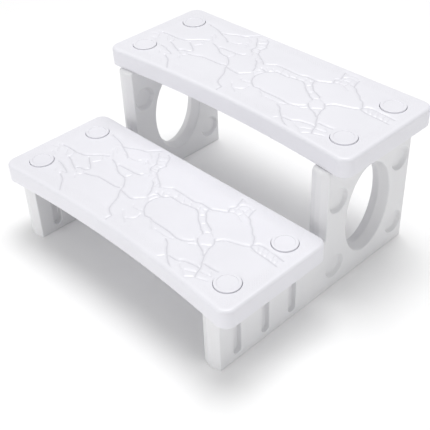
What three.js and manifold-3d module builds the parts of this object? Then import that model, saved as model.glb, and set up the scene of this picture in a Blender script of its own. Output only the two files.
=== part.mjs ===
// Two-step spa steps in blow-moulded white polyethylene.
// Two identical hollow treads are screwed down onto two identical hollow side panels. Each of the
// eight screws sits at the bottom of a well in the tread top and is hidden by a round press-in cap.
// Millimetres, +X along the treads, +Y towards the spa, +Z up. The origin is on the floor, in the
// middle of the footprint.
import * as THREE from 'three';
import { mergeVertices } from 'three/addons/utils/BufferGeometryUtils.js';
import Module from 'manifold-3d';

const wasm = await Module();
wasm.setup();

// Shared by all the mouldings
const WALL = 3.5;
const REST_GAP = 0.3;
const OVERSHOOT = 1;
const VENT_RADIUS = 4;

// Treads
const TREAD_LENGTH = 780;
const TREAD_DEPTH = 314;
const TREAD_THICKNESS = 47;
const TREAD_CORNER_RADIUS = 28;
const TREAD_EDGE_RADIUS = 8;
const TREAD_FRONT_SAG = 20;
const LOWER_TREAD_TOP = 204;
const UPPER_TREAD_TOP = 385;
const TREAD_PITCH = 356;

// Side panels
const PANEL_THICKNESS = 50;
const PANEL_OVERHANG = 40;
const FRONT_OVERHANG = 12;
const UPPER_POST_FRONT = 12;
const NOSE_FLAT = 14;
const NOSE_DEPTH = 7;
const PANEL_EDGE_BEVEL = 5;

// Oval opening in the high part of a panel, with the plastic left beside it and above and below it
const OVAL_SIDE_MARGIN = 75;
const OVAL_END_MARGIN = 47.5;
const OVAL_RIDGE_INSET = 9;
const OVAL_RIDGE_FLAT = 3;

// Round dimples in both faces, near the corners of the high part and measured from its edges
const DIMPLE_SIDE_INSET = 43;
const DIMPLE_TOP_INSET = 88;
const DIMPLE_BOTTOM_INSET = 61.5;
const DIMPLE_RADIUS = 31.5;
const DIMPLE_FLOOR_RADIUS = 25;
const DIMPLE_DEPTH = 9.5;

// Upright slots under the lower tread, in both faces
const SLOT_COUNT = 3;
const SLOT_SPACING = 87;
const SLOT_WIDTH = 24;
const SLOT_DEPTH = 12;
const SLOT_BOTTOM = 17;
const SLOT_HEADROOM = 9;

// Fixings
const FIXING_SPACING_Y = 174;
const SCREW_RADIUS = 3;
const SCREW_LENGTH = 46;
const SCREW_HEAD_RADIUS = 6.5;
const SCREW_HEAD_HEIGHT = 4.4;
const SCREW_CLEARANCE = 0.35;
const WASHER_RADIUS = 11;
const WASHER_THICKNESS = 1.6;
const CAP_RADIUS = 29.8;
const CAP_GAP = 1.2;
const CAP_RISE = 3;
const CAP_EDGE_ROUND = 1.4;
const CAP_SKIRT = 9;
const CAP_WALL = 2.4;
const WELL_LEDGE = 6;
const WELL_FLOOR = 9;
const SOCKET_DEPTH = 12;
const BOSS_RADIUS = 18;
const BOSS_CLEARANCE = 0.5;

// Tack-offs that fuse the underside of a tread to its top
const TACK_COLUMNS = 4;
const TACK_SPACING_X = 130;
const TACK_SPACING_Y = 174;
const TACK_MOUTH_RADIUS = 24;
const TACK_TIP_RADIUS = 12;

// Number of flats round each kind of curve, where hidden is for the inner side of a wall
const FLATS = { outline: 6, oval: 32, round: 16, hidden: 10, screw: 8 };

// What follows from the values above
const TREAD_SPAN_Y = TREAD_PITCH + TREAD_DEPTH;
const PANEL_X = TREAD_LENGTH / 2 - PANEL_OVERHANG - PANEL_THICKNESS / 2;
const PANEL_HALF_DEPTH = TREAD_SPAN_Y / 2 - FRONT_OVERHANG;
const LOWER_UNDERSIDE = LOWER_TREAD_TOP - TREAD_THICKNESS;
const UPPER_UNDERSIDE = UPPER_TREAD_TOP - TREAD_THICKNESS;
const OVAL_Y = (UPPER_POST_FRONT + PANEL_HALF_DEPTH) / 2;
const OVAL_Z = UPPER_UNDERSIDE / 2;
const OVAL_HALF_WIDTH = (PANEL_HALF_DEPTH - UPPER_POST_FRONT) / 2 - OVAL_SIDE_MARGIN;
const OVAL_HALF_HEIGHT = OVAL_Z - OVAL_END_MARGIN;
const WELL_RADIUS = CAP_RADIUS + CAP_GAP;
const WELL_BOTTOM = SOCKET_DEPTH + WELL_FLOOR;
const BOSS_HEIGHT = SOCKET_DEPTH - REST_GAP;
const PILOT_RADIUS = SCREW_RADIUS + SCREW_CLEARANCE;
const SCREW_SEAT = WELL_BOTTOM + WASHER_THICKNESS + 2 * REST_GAP;
const PILOT_DEPTH = SCREW_LENGTH - SCREW_SEAT + WALL;

const plastic = (roughness) => new THREE.MeshStandardMaterial({ color: 0xf1f1f6, roughness, metalness: 0 });
const steel = () => new THREE.MeshStandardMaterial({ color: 0xb9bbbe, roughness: 0.35, metalness: 1 });

// A closed three.js geometry as a solid that can be joined and cut.
function solid(geometry) {
  geometry.deleteAttribute('normal');
  geometry.deleteAttribute('uv');
  const merged = mergeVertices(geometry, 1e-4);
  const corners = merged.index.array;
  const kept = [];
  for (let i = 0; i < corners.length; i += 3) {
    const [a, b, c] = corners.slice(i, i + 3);
    if (a !== b && b !== c && c !== a) kept.push(a, b, c);
  }
  const vertProperties = merged.attributes.position.array;
  return new wasm.Manifold(new wasm.Mesh({ numProp: 3, vertProperties, triVerts: Uint32Array.from(kept) }));
}

// A solid as the geometry of a mesh.
function geometryOf(body) {
  const mesh = body.getMesh();
  const geometry = new THREE.BufferGeometry();
  geometry.setAttribute('position', new THREE.BufferAttribute(mesh.vertProperties, 3));
  geometry.setIndex(new THREE.BufferAttribute(mesh.triVerts, 1));
  geometry.computeVertexNormals();
  return geometry;
}

const joined = (bodies) => bodies.reduce((whole, body) => whole.add(body));
const cut = (body, cutters) => cutters.reduce((left, cutter) => left.subtract(cutter), body);

// An upright prism on a plan outline, with its edges bevelled at both ends when bevel is given.
function prism(shape, bottom, top, bevel = 0, bevelSegments = 1) {
  const geometry = new THREE.ExtrudeGeometry(shape, {
    depth: top - bottom - 2 * bevel,
    curveSegments: FLATS.outline,
    bevelEnabled: bevel > 0,
    bevelThickness: bevel,
    bevelSize: bevel,
    bevelOffset: -bevel,
    bevelSegments,
  });
  return solid(geometry.translate(0, 0, bottom + bevel));
}

// An upright solid of revolution from a profile of [radius, height] pairs, listed from the bottom up.
function turned(profile, flats = FLATS.round) {
  const points = profile.map(([radius, height]) => new THREE.Vector2(radius, height));
  return solid(new THREE.LatheGeometry(points, flats).rotateX(Math.PI / 2));
}

// An upright round bar, or a cone when its two radii differ.
const bar = (radius, bottom, top, topRadius = radius, flats = FLATS.round) => turned(
  [[0, bottom], [radius, bottom], [topRadius, top], [0, top]],
  flats,
);

// Flats of a round hollow, or of the hidden wall round it when it is grown.
const flatsFor = (grow) => (grow > 0 ? FLATS.hidden : FLATS.round);

// Places that are spaced evenly about zero.
const spaced = (count, spacing) => Array.from({ length: count }, (_, i) => (i - (count - 1) / 2) * spacing);

// Plan outline of a tread: straight back and ends, rounded corners, and a front edge that curves in.
function treadOutline(inset) {
  const radius = TREAD_CORNER_RADIUS - inset;
  const cornerX = TREAD_LENGTH / 2 - TREAD_CORNER_RADIUS;
  const cornerY = TREAD_DEPTH / 2 - TREAD_CORNER_RADIUS;
  const front = -cornerY - radius;
  const shape = new THREE.Shape();
  shape.absarc(cornerX, -cornerY, radius, -Math.PI / 2, 0);
  shape.absarc(cornerX, cornerY, radius, 0, Math.PI / 2);
  shape.absarc(-cornerX, cornerY, radius, Math.PI / 2, Math.PI);
  shape.absarc(-cornerX, -cornerY, radius, Math.PI, Math.PI * 1.5);
  shape.quadraticCurveTo(0, front + 2 * TREAD_FRONT_SAG, cornerX, front);
  return shape;
}

// The places of the four fixings of a tread, from the middle of the tread.
const fixingPlaces = [-1, 1].flatMap((side) => spaced(2, FIXING_SPACING_Y).map((y) => [side * PANEL_X, y]));
const tackPlaces = spaced(TACK_COLUMNS, TACK_SPACING_X)
  .flatMap((x) => spaced(2, TACK_SPACING_Y).map((y) => [x, y]));

// The hollows pressed into a tread, each grown by the given amount to make the wall round it.
function treadHollows(grow) {
  const top = TREAD_THICKNESS + OVERSHOOT;
  const wellNeck = WELL_RADIUS - WELL_LEDGE;
  const ledge = TREAD_THICKNESS - CAP_SKIRT - grow;
  const well = turned([
    [0, WELL_BOTTOM - grow],
    [wellNeck + grow, WELL_BOTTOM - grow],
    [wellNeck + grow, ledge],
    [WELL_RADIUS + grow, ledge],
    [WELL_RADIUS + grow, top],
    [0, top],
  ], flatsFor(grow));
  const socketRadius = BOSS_RADIUS + BOSS_CLEARANCE + grow;
  const socket = bar(socketRadius, -OVERSHOOT, SOCKET_DEPTH + grow, socketRadius, flatsFor(grow));
  const screwHole = bar(PILOT_RADIUS + grow, 0, top, PILOT_RADIUS + grow, FLATS.screw);
  const tackTip = TREAD_THICKNESS - 2 * WALL + grow;
  const tack = bar(TACK_MOUTH_RADIUS + grow, -OVERSHOOT, tackTip, TACK_TIP_RADIUS + grow, FLATS.hidden);
  const at = (body, places) => places.map(([x, y]) => body.translate([x, y, 0]));
  return [...[well, socket, screwHole].flatMap((body) => at(body, fixingPlaces)), ...at(tack, tackPlaces)];
}

// A tread about its own middle, with its underside at zero. The underside edge is left square.
function treadSolid() {
  const bevel = TREAD_EDGE_RADIUS;
  const full = prism(treadOutline(0), -2 * bevel, TREAD_THICKNESS, bevel, 2);
  const skin = full.intersect(prism(treadOutline(-OVERSHOOT), 0, TREAD_THICKNESS + OVERSHOOT));
  const hollow = prism(treadOutline(WALL), WALL, TREAD_THICKNESS - WALL, WALL);
  const vent = bar(VENT_RADIUS, -OVERSHOOT, 2 * WALL);
  return cut(skin, [...treadHollows(0), cut(hollow, treadHollows(WALL)), vent]);
}

// Plan outline of an upright block of a panel, with a shallow faceted nose at each end.
function blockOutline(front, back, inset) {
  const side = PANEL_THICKNESS / 2 - inset;
  const flat = NOSE_FLAT / 2;
  const shape = new THREE.Shape();
  shape.moveTo(-flat, front + inset);
  shape.lineTo(flat, front + inset);
  shape.lineTo(side, front + inset + NOSE_DEPTH);
  shape.lineTo(side, back - inset - NOSE_DEPTH);
  shape.lineTo(flat, back - inset);
  shape.lineTo(-flat, back - inset);
  shape.lineTo(-side, back - inset - NOSE_DEPTH);
  shape.lineTo(-side, front + inset + NOSE_DEPTH);
  return shape;
}

// The two blocks of a panel, joined: a low one under the lower tread and a high one under the upper.
function panelBlocks(inset) {
  const bevel = Math.max(PANEL_EDGE_BEVEL - inset, WALL / 2);
  const overlapEnd = UPPER_POST_FRONT + PANEL_THICKNESS;
  const low = blockOutline(-PANEL_HALF_DEPTH, overlapEnd, inset);
  const high = blockOutline(UPPER_POST_FRONT, PANEL_HALF_DEPTH, inset);
  return joined([
    prism(low, inset, LOWER_UNDERSIDE - REST_GAP - inset, bevel),
    prism(high, inset, UPPER_UNDERSIDE - REST_GAP - inset, bevel),
  ]);
}

// Turns a solid from upright to lying along X, so that its height runs from the middle of the panel
// out to one face, and moves it to a place on that face.
const onFace = (body, y, z) => body.rotate([90, 0, 90]).translate([0, y, z]);

// The oval opening, tapering from both faces to a ridge in the middle of the panel.
function ovalHole(grow) {
  const shape = new THREE.Shape();
  const ridge = OVAL_RIDGE_INSET - grow;
  const taper = OVAL_RIDGE_INSET * (1 + 2 * OVERSHOOT / PANEL_THICKNESS);
  shape.absellipse(0, 0, OVAL_HALF_WIDTH - ridge, OVAL_HALF_HEIGHT - ridge, 0, Math.PI * 2);
  const geometry = new THREE.ExtrudeGeometry(shape, {
    depth: OVAL_RIDGE_FLAT,
    curveSegments: FLATS.oval,
    bevelThickness: (PANEL_THICKNESS - OVAL_RIDGE_FLAT) / 2 + OVERSHOOT,
    bevelSize: -taper,
    bevelOffset: taper,
    bevelSegments: 1,
  });
  return onFace(solid(geometry.translate(0, 0, -OVAL_RIDGE_FLAT / 2)), OVAL_Y, OVAL_Z);
}

// One dimple in the +X face: a flat floor with a sloping wall.
function dimple(y, z, grow) {
  const floor = PANEL_THICKNESS / 2 - DIMPLE_DEPTH - grow;
  const slope = (DIMPLE_RADIUS - DIMPLE_FLOOR_RADIUS) / DIMPLE_DEPTH;
  const face = PANEL_THICKNESS / 2 + OVERSHOOT;
  const faceRadius = DIMPLE_RADIUS + grow + slope * OVERSHOOT;
  return onFace(bar(DIMPLE_FLOOR_RADIUS + grow, floor, face, faceRadius, flatsFor(grow)), y, z);
}

// One upright slot in the +X face, with round ends.
function slot(y, grow) {
  const half = SLOT_WIDTH / 2;
  const shape = new THREE.Shape();
  shape.absarc(0, LOWER_UNDERSIDE - SLOT_HEADROOM - half, half + grow, 0, Math.PI);
  shape.absarc(0, SLOT_BOTTOM + half, half + grow, Math.PI, Math.PI * 2);
  const floor = PANEL_THICKNESS / 2 - SLOT_DEPTH - grow;
  return onFace(prism(shape, floor, PANEL_THICKNESS / 2 + OVERSHOOT), y, 0);
}

// The places of the fixings along a panel, with the height of the tread underside at each.
const panelFixings = [[-1, LOWER_UNDERSIDE], [1, UPPER_UNDERSIDE]].flatMap(([side, underside]) => (
  spaced(2, FIXING_SPACING_Y).map((y) => [side * TREAD_PITCH / 2 + y, underside])
));

// The hollows of a panel, each grown by the given amount to make the wall round it.
function panelHollows(grow) {
  const slots = spaced(SLOT_COUNT, SLOT_SPACING).map((y) => slot(y - TREAD_PITCH / 2, grow));
  const dimpleYs = [UPPER_POST_FRONT + DIMPLE_SIDE_INSET, PANEL_HALF_DEPTH - DIMPLE_SIDE_INSET];
  const dimpleZs = [DIMPLE_BOTTOM_INSET, UPPER_UNDERSIDE - DIMPLE_TOP_INSET];
  const dimples = dimpleYs.flatMap((y) => dimpleZs.map((z) => dimple(y, z, grow)));
  const oneFace = [...slots, ...dimples];
  const otherFace = oneFace.map((body) => body.mirror([1, 0, 0]));
  const radius = PILOT_RADIUS + grow;
  const pilots = panelFixings.map(([y, underside]) => {
    const pilot = bar(radius, underside - PILOT_DEPTH - grow, underside + SOCKET_DEPTH, radius, FLATS.screw);
    return pilot.translate([0, y, 0]);
  });
  return [ovalHole(grow), ...oneFace, ...otherFace, ...pilots];
}

// A side panel about its own middle plane. It is symmetric, so the same moulding fits either end.
function panelSolid() {
  const bosses = panelFixings.map(([y, underside]) => (
    bar(BOSS_RADIUS, underside - WALL, underside + BOSS_HEIGHT).translate([0, y, 0])
  ));
  const skin = joined([panelBlocks(0), ...bosses]);
  const vent = bar(VENT_RADIUS, -OVERSHOOT, 2 * WALL).translate([0, -TREAD_PITCH / 2 - SLOT_SPACING / 2, 0]);
  return cut(skin, [...panelHollows(0), cut(panelBlocks(WALL), panelHollows(WALL)), vent]);
}

// A press-in cap with its skirt standing on the ledge of the well: zero is the top face of the tread.
function capSolid() {
  const bottom = REST_GAP - CAP_SKIRT;
  const inner = CAP_RADIUS - CAP_WALL;
  return turned([
    [0, CAP_RISE - CAP_WALL],
    [inner, CAP_RISE - CAP_WALL],
    [inner, bottom],
    [CAP_RADIUS, bottom],
    [CAP_RADIUS, CAP_RISE - CAP_EDGE_ROUND],
    [CAP_RADIUS - CAP_EDGE_ROUND, CAP_RISE],
    [0, CAP_RISE],
  ]);
}

// A pan-head screw with the underside of its head at zero.
function screwSolid() {
  return turned([
    [0, -SCREW_LENGTH],
    [SCREW_RADIUS, SCREW_RADIUS - SCREW_LENGTH],
    [SCREW_RADIUS, 0],
    [SCREW_HEAD_RADIUS, 0],
    [SCREW_HEAD_RADIUS, SCREW_HEAD_HEIGHT / 2],
    [SCREW_HEAD_RADIUS / 2, SCREW_HEAD_HEIGHT],
    [0, SCREW_HEAD_HEIGHT],
  ], FLATS.screw);
}

// A plain washer with its underside at zero.
function washerSolid() {
  const hole = bar(PILOT_RADIUS, -OVERSHOOT, WASHER_THICKNESS + OVERSHOOT, PILOT_RADIUS, FLATS.screw);
  return bar(WASHER_RADIUS, 0, WASHER_THICKNESS).subtract(hole);
}

function named(name, geometry, material, x, y, z) {
  const mesh = new THREE.Mesh(geometry, material);
  mesh.name = name;
  mesh.position.set(x, y, z);
  return mesh;
}

const steps = new THREE.Group();
const treadGeometry = geometryOf(treadSolid());
const panelGeometry = geometryOf(panelSolid());
const capGeometry = geometryOf(capSolid());
const screwGeometry = geometryOf(screwSolid());
const washerGeometry = geometryOf(washerSolid());

// One tread with its four caps, screws and washers.
function addTread(level, middleY, underside) {
  steps.add(named(`${level}_tread`, treadGeometry, plastic(0.55), 0, middleY, underside));
  for (const [x, y] of fixingPlaces) {
    const corner = `${level}_${y < 0 ? 'front' : 'rear'}_${x < 0 ? 'left' : 'right'}`;
    const place = [x, middleY + y];
    const seat = underside + WELL_BOTTOM + REST_GAP;
    steps.add(named(`${corner}_cap`, capGeometry, plastic(0.45), ...place, underside + TREAD_THICKNESS));
    steps.add(named(`${corner}_washer`, washerGeometry, steel(), ...place, seat));
    steps.add(named(`${corner}_screw`, screwGeometry, steel(), ...place, underside + SCREW_SEAT));
  }
}

steps.add(named('left_side_panel', panelGeometry, plastic(0.6), -PANEL_X, 0, 0));
steps.add(named('right_side_panel', panelGeometry, plastic(0.6), PANEL_X, 0, 0));
addTread('lower', -TREAD_PITCH / 2, LOWER_UNDERSIDE);
addTread('upper', TREAD_PITCH / 2, UPPER_UNDERSIDE);

export default steps;
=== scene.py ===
"""Two-step spa steps in white moulded plastic, dressed for a studio picture.

Two stone-patterned treads stand on two hollow L-shaped side panels. Each tread is held by four screws
and washers, and each screw is covered by a round press-in cap. Shapes are worked out in millimetres and
put into the meshes in metres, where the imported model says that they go.
"""

from __future__ import annotations

import logging
import math
from dataclasses import dataclass, field
from enum import Enum

import bmesh
import bpy
import numpy as np
from mathutils import Matrix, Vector
from mathutils.geometry import delaunay_2d_cdt

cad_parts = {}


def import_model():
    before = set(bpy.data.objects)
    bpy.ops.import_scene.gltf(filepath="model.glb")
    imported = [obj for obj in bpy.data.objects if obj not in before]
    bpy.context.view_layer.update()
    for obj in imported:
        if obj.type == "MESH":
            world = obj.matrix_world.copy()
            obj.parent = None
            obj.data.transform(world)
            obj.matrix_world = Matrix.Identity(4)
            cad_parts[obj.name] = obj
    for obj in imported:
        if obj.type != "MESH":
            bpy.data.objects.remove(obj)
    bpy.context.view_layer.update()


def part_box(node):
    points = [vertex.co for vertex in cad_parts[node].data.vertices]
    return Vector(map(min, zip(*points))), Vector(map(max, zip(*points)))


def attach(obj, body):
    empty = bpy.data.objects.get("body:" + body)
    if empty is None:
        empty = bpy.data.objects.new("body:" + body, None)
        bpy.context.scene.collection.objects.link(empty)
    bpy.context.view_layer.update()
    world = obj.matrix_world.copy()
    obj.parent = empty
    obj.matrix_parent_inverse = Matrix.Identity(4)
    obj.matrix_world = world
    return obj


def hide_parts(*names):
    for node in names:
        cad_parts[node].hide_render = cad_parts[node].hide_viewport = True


LOG = logging.getLogger("spa_steps")
MM = 0.001
ROOT_BODY = "root"
HOLD = 0.3  # the width of the narrow ring that keeps a flat beside a rounding flat, in millimetres

Array = np.ndarray
Corners = list[tuple[float, float]]


class Level(Enum):
    """The two treads, by the first word of their nodes' names."""

    LOWER = "lower"
    UPPER = "upper"


class Corner(Enum):
    """The four fixings of a tread, by the middle words of their nodes' names."""

    FRONT_LEFT = "front_left"
    FRONT_RIGHT = "front_right"
    REAR_LEFT = "rear_left"
    REAR_RIGHT = "rear_right"


class Side(Enum):
    """The two side panels, by the first word of their nodes' names."""

    LEFT = "left"
    RIGHT = "right"


class Slot(Enum):
    """The finishes of the record, by the names of its material slots."""

    TREAD = "tread_plastic"
    PANEL = "panel_plastic"
    CAP = "cap_plastic"
    STEEL = "fastener_steel"


class Joint(Enum):
    """The width and the depth of a joint between stones, in millimetres."""

    WIDE = (9.0, 2.3)
    NARROW = (6.6, 1.7)

    @property
    def half_width(self) -> float:
        """Half the joint's width."""
        return self.value[0] / 2

    @property
    def depth(self) -> float:
        """The depth along the joint's middle."""
        return self.value[1]


# The joints between the stones of a tread, in millimetres from its middle: x to the right, y to the back.
STONE_JOINTS: tuple[tuple[Joint, Corners], ...] = (
    # The back left, from the rear left cap to the back edge.
    (Joint.WIDE, [(-304, 112), (-280, 106), (-258, 102), (-240, 97), (-226, 90)]),
    (Joint.WIDE, [(-226, 90), (-210, 95), (-198, 102), (-182, 110), (-164, 116), (-152, 128), (-140, 140),
                  (-128, 157)]),
    (Joint.WIDE, [(-226, 90), (-212, 84), (-198, 79), (-188, 74), (-178, 66)]),
    (Joint.NARROW, [(-195, 72), (-170, 70), (-150, 74), (-143, 82)]),
    (Joint.NARROW, [(-233, 78), (-225, 70), (-214, 61)]),
    (Joint.NARROW, [(-232, 64), (-222, 55), (-210, 45), (-201, 36)]),
    (Joint.NARROW, [(-150, 118), (-132, 105)]),
    (Joint.NARROW, [(-130, 85), (-122, 76)]),
    (Joint.NARROW, [(-134, 94), (-120, 86)]),
    # The strip of small stones that runs from the back to the middle.
    (Joint.WIDE, [(-135, 132), (-125, 122), (-118, 112), (-112, 105), (-104, 95), (-103, 78), (-95, 70)]),
    (Joint.WIDE, [(-112, 143), (-100, 137), (-92, 125), (-85, 112), (-80, 106), (-84, 88), (-78, 80),
                  (-75, 72), (-62, 64)]),
    (Joint.NARROW, [(-126, 123), (-100, 136)]),
    (Joint.NARROW, [(-114, 108), (-92, 122)]),
    (Joint.NARROW, [(-106, 97), (-82, 105)]),
    (Joint.NARROW, [(-103, 87), (-84, 92)]),
    (Joint.NARROW, [(-102, 78), (-80, 82)]),
    (Joint.NARROW, [(-95, 70), (-76, 74)]),
    (Joint.NARROW, [(-95, 70), (-84, 60), (-80, 47)]),
    (Joint.WIDE, [(-60, 62), (-42, 52), (-35, 47), (-27, 40)]),
    (Joint.WIDE, [(-55, 43), (-47, 37), (-38, 24), (-32, 18), (-28, 10), (-24, 0)]),
    (Joint.NARROW, [(-66, 62), (-62, 47), (-55, 43)]),
    (Joint.NARROW, [(-42, 52), (-38, 36), (-40, 28)]),
    (Joint.NARROW, [(-27, 40), (-14, 46), (0, 57)]),
    # The band across the middle.
    (Joint.WIDE, [(0, 57), (20, 58), (50, 57), (75, 57), (88, 62), (100, 63), (115, 62), (125, 62)]),
    (Joint.WIDE, [(-15, 20), (5, 18), (15, 25), (22, 32), (45, 32), (55, 32), (75, 37), (100, 40)]),
    (Joint.NARROW, [(-5, 30), (5, 20)]),
    (Joint.NARROW, [(10, 36), (18, 30)]),
    (Joint.NARROW, [(27, 52), (33, 44)]),
    (Joint.NARROW, [(31, 40), (36, 30)]),
    (Joint.NARROW, [(48, 50), (62, 34)]),
    (Joint.NARROW, [(73, 48), (85, 37)]),
    (Joint.NARROW, [(99, 54), (103, 45)]),
    (Joint.NARROW, [(110, 36), (118, 26)]),
    # The strip of small stones from the middle towards the right.
    (Joint.WIDE, [(118, 62), (125, 45), (133, 38), (140, 30), (147, 24), (155, 21), (165, 16), (175, 12),
                  (178, 8)]),
    (Joint.WIDE, [(100, 40), (112, 33), (120, 25), (128, 18), (140, 10), (150, 4), (157, -2), (167, -6),
                  (172, -10)]),
    (Joint.NARROW, [(114, 50), (126, 54)]),
    (Joint.NARROW, [(120, 26), (131, 38)]),
    (Joint.NARROW, [(145, 7), (156, 22)]),
    (Joint.NARROW, [(175, -5), (185, 3)]),
    (Joint.WIDE, [(125, 62), (135, 68), (150, 76), (158, 83)]),
    (Joint.WIDE, [(205, 100), (215, 95), (225, 85), (240, 75), (252, 63), (262, 58), (270, 48), (276, 40),
                  (278, 30)]),
    (Joint.WIDE, [(275, 27), (262, 20), (245, 14), (228, 8), (220, 3), (213, -8)]),
    (Joint.WIDE, [(203, -5), (210, -12), (216, -20), (218, -35), (222, -45), (225, -55), (232, -65),
                  (240, -78), (248, -88), (253, -100), (258, -112), (262, -118)]),
    (Joint.NARROW, [(178, 8), (188, 2), (203, -5)]),
    (Joint.WIDE, [(175, -28), (182, -36), (192, -42), (205, -47), (215, -52), (225, -60)]),
    (Joint.NARROW, [(172, -10), (172, -20), (175, -28)]),
    (Joint.NARROW, [(183, -50), (190, -45), (200, -38), (208, -33), (214, -28)]),
    (Joint.NARROW, [(175, -55), (182, -50)]),
    # The front middle and the front right.
    (Joint.WIDE, [(45, -53), (60, -56), (80, -56), (100, -56), (120, -57), (140, -60), (155, -57),
                  (167, -50), (176, -42)]),
    (Joint.NARROW, [(85, -72), (100, -72), (120, -72), (132, -70), (140, -66)]),
    (Joint.NARROW, [(55, -60), (68, -68), (78, -78)]),
    (Joint.WIDE, [(125, -77), (140, -85), (150, -96), (160, -105), (170, -113), (180, -121), (190, -127),
                  (205, -134), (218, -140), (228, -148), (240, -157)]),
    (Joint.NARROW, [(120, -155), (135, -148), (150, -135), (158, -130), (165, -118)]),
    (Joint.WIDE, [(172, -110), (185, -110), (198, -108), (207, -101), (220, -97), (235, -94), (247, -93)]),
    (Joint.WIDE, [(245, -77), (265, -77), (285, -75), (295, -75)]),
    (Joint.NARROW, [(255, -100), (270, -98), (285, -95)]),
    (Joint.NARROW, [(262, -120), (275, -115), (290, -110), (300, -108)]),
    (Joint.NARROW, [(272, -83), (280, -88), (285, -95)]),
    (Joint.NARROW, [(208, -112), (215, -118), (228, -122), (240, -132), (246, -137)]),
    (Joint.NARROW, [(232, -118), (245, -112), (255, -107)]),
    (Joint.NARROW, [(245, -135), (252, -128), (262, -120)]),
    # The row of small stones on the right.
    (Joint.WIDE, [(278, 34), (290, 46), (318, 47), (340, 45), (362, 42)]),
    (Joint.WIDE, [(278, 30), (295, 25), (318, 24), (340, 23), (362, 20)]),
    (Joint.NARROW, [(290, 45), (300, 28)]),
    (Joint.NARROW, [(306, 46), (312, 26)]),
    (Joint.NARROW, [(318, 46), (325, 27)]),
    (Joint.NARROW, [(335, 44), (342, 26)]),
    (Joint.NARROW, [(350, 42), (354, 24)]),
    # The cluster of small stones at the back.
    (Joint.WIDE, [(148, 140), (155, 118), (158, 108), (152, 95), (158, 83)]),
    (Joint.WIDE, [(198, 130), (200, 115), (205, 100)]),
    (Joint.NARROW, [(148, 140), (165, 134), (180, 138), (198, 130)]),
    (Joint.NARROW, [(157, 112), (166, 120), (175, 125), (190, 124), (199, 118)]),
    (Joint.NARROW, [(153, 96), (166, 104), (180, 108), (187, 103), (204, 100)]),
    (Joint.NARROW, [(158, 84), (170, 88), (183, 88), (195, 82), (205, 78)]),
    (Joint.NARROW, [(166, 120), (166, 104), (170, 88)]),
    (Joint.NARROW, [(184, 124), (187, 103), (185, 88)]),
    # The left end.
    (Joint.WIDE, [(-345, -8), (-320, -5), (-295, -5), (-280, -2), (-270, 0), (-262, 5), (-250, 15),
                  (-240, 25), (-230, 32), (-218, 40)]),
    (Joint.NARROW, [(-362, -28), (-345, -22)]),
    (Joint.NARROW, [(-355, -12), (-345, -18), (-338, -30), (-330, -35)]),
    (Joint.NARROW, [(-320, -12), (-312, -20), (-302, -30)]),
    (Joint.NARROW, [(-297, -8), (-290, -20), (-290, -30)]),
    (Joint.WIDE, [(-290, -30), (-275, -35), (-260, -42), (-245, -48), (-235, -52)]),
    (Joint.NARROW, [(-342, -45), (-330, -40)]),
    (Joint.WIDE, [(-330, -48), (-315, -53), (-300, -58), (-280, -60), (-262, -66), (-248, -70),
                  (-238, -75)]),
    (Joint.NARROW, [(-275, -82), (-265, -90)]),
    (Joint.NARROW, [(-255, -80), (-240, -77)]),
    (Joint.WIDE, [(-247, -88), (-238, -92), (-228, -96), (-218, -103), (-212, -110), (-200, -122),
                  (-188, -133), (-175, -143), (-160, -155)]),
    # The left middle.
    (Joint.NARROW, [(-228, 25), (-218, 18)]),
    (Joint.NARROW, [(-225, -5), (-220, 5), (-215, 12)]),
    (Joint.WIDE, [(-250, 2), (-240, -5), (-228, -12), (-218, -18), (-210, -25)]),
    (Joint.WIDE, [(-238, -45), (-230, -40), (-218, -38), (-208, -30)]),
    (Joint.NARROW, [(-232, -50), (-222, -58)]),
    (Joint.NARROW, [(-215, -42), (-208, -48)]),
    (Joint.NARROW, [(-210, -60), (-205, -52)]),
    (Joint.NARROW, [(-215, -68), (-207, -77)]),
    (Joint.WIDE, [(-205, -47), (-190, -43), (-175, -36), (-165, -33), (-140, -32), (-110, -31),
                  (-95, -27)]),
    (Joint.WIDE, [(-200, 36), (-185, 32), (-175, 27), (-165, 22), (-155, 15), (-140, 10), (-120, 8),
                  (-112, 2)]),
    (Joint.WIDE, [(-170, 32), (-150, 34), (-130, 35), (-115, 36), (-100, 40), (-95, 46)]),
    (Joint.NARROW, [(-168, 30), (-162, 20)]),
    (Joint.NARROW, [(-118, 35), (-113, 27), (-115, 15), (-117, 9)]),
    # The front middle, from the strip to the front edge.
    (Joint.WIDE, [(-110, 2), (-100, -8), (-92, -18), (-88, -28), (-82, -38), (-72, -50), (-65, -62),
                  (-60, -75), (-53, -90), (-45, -98), (-35, -103), (-25, -108), (-25, -120), (-20, -132)]),
    (Joint.WIDE, [(-85, -30), (-70, -33), (-55, -35), (-40, -35), (-30, -25), (-27, -22)]),
    (Joint.WIDE, [(5, 20), (0, 5), (-3, -10), (0, -25), (8, -38), (15, -45), (25, -52), (30, -55),
                  (45, -53)]),
    (Joint.NARROW, [(-10, -53), (0, -52), (12, -48)]),
    (Joint.NARROW, [(-18, -48), (-12, -53)]),
    (Joint.NARROW, [(20, -60), (22, -75), (15, -85), (5, -90)]),
    (Joint.NARROW, [(-20, -77), (-10, -87), (0, -93), (10, -98), (15, -102)]),
    (Joint.NARROW, [(0, -142), (10, -147), (18, -150)]),
    (Joint.NARROW, [(-24, 0), (-20, -5), (-10, -12), (-5, -18)]),
    (Joint.NARROW, [(-27, -22), (-17, -8), (-12, 10), (0, 15)]),
)


def smooth_step(value: Array, low: float, high: float) -> Array:
    """Rises from 0 at low to 1 at high as 3t² − 2t³, with t the share of the way between them."""
    t = np.clip((value - low) / (high - low), 0.0, 1.0)
    return t * t * (3.0 - 2.0 * t)


def quarter_round(depth: Array, radius: float) -> Array:
    """How far a quarter-round edge stands back at a depth below its face: r − √(r² − (r − depth)²)."""
    left = np.clip(radius - depth, 0.0, radius)
    return radius - np.sqrt(radius**2 - left**2)


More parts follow.
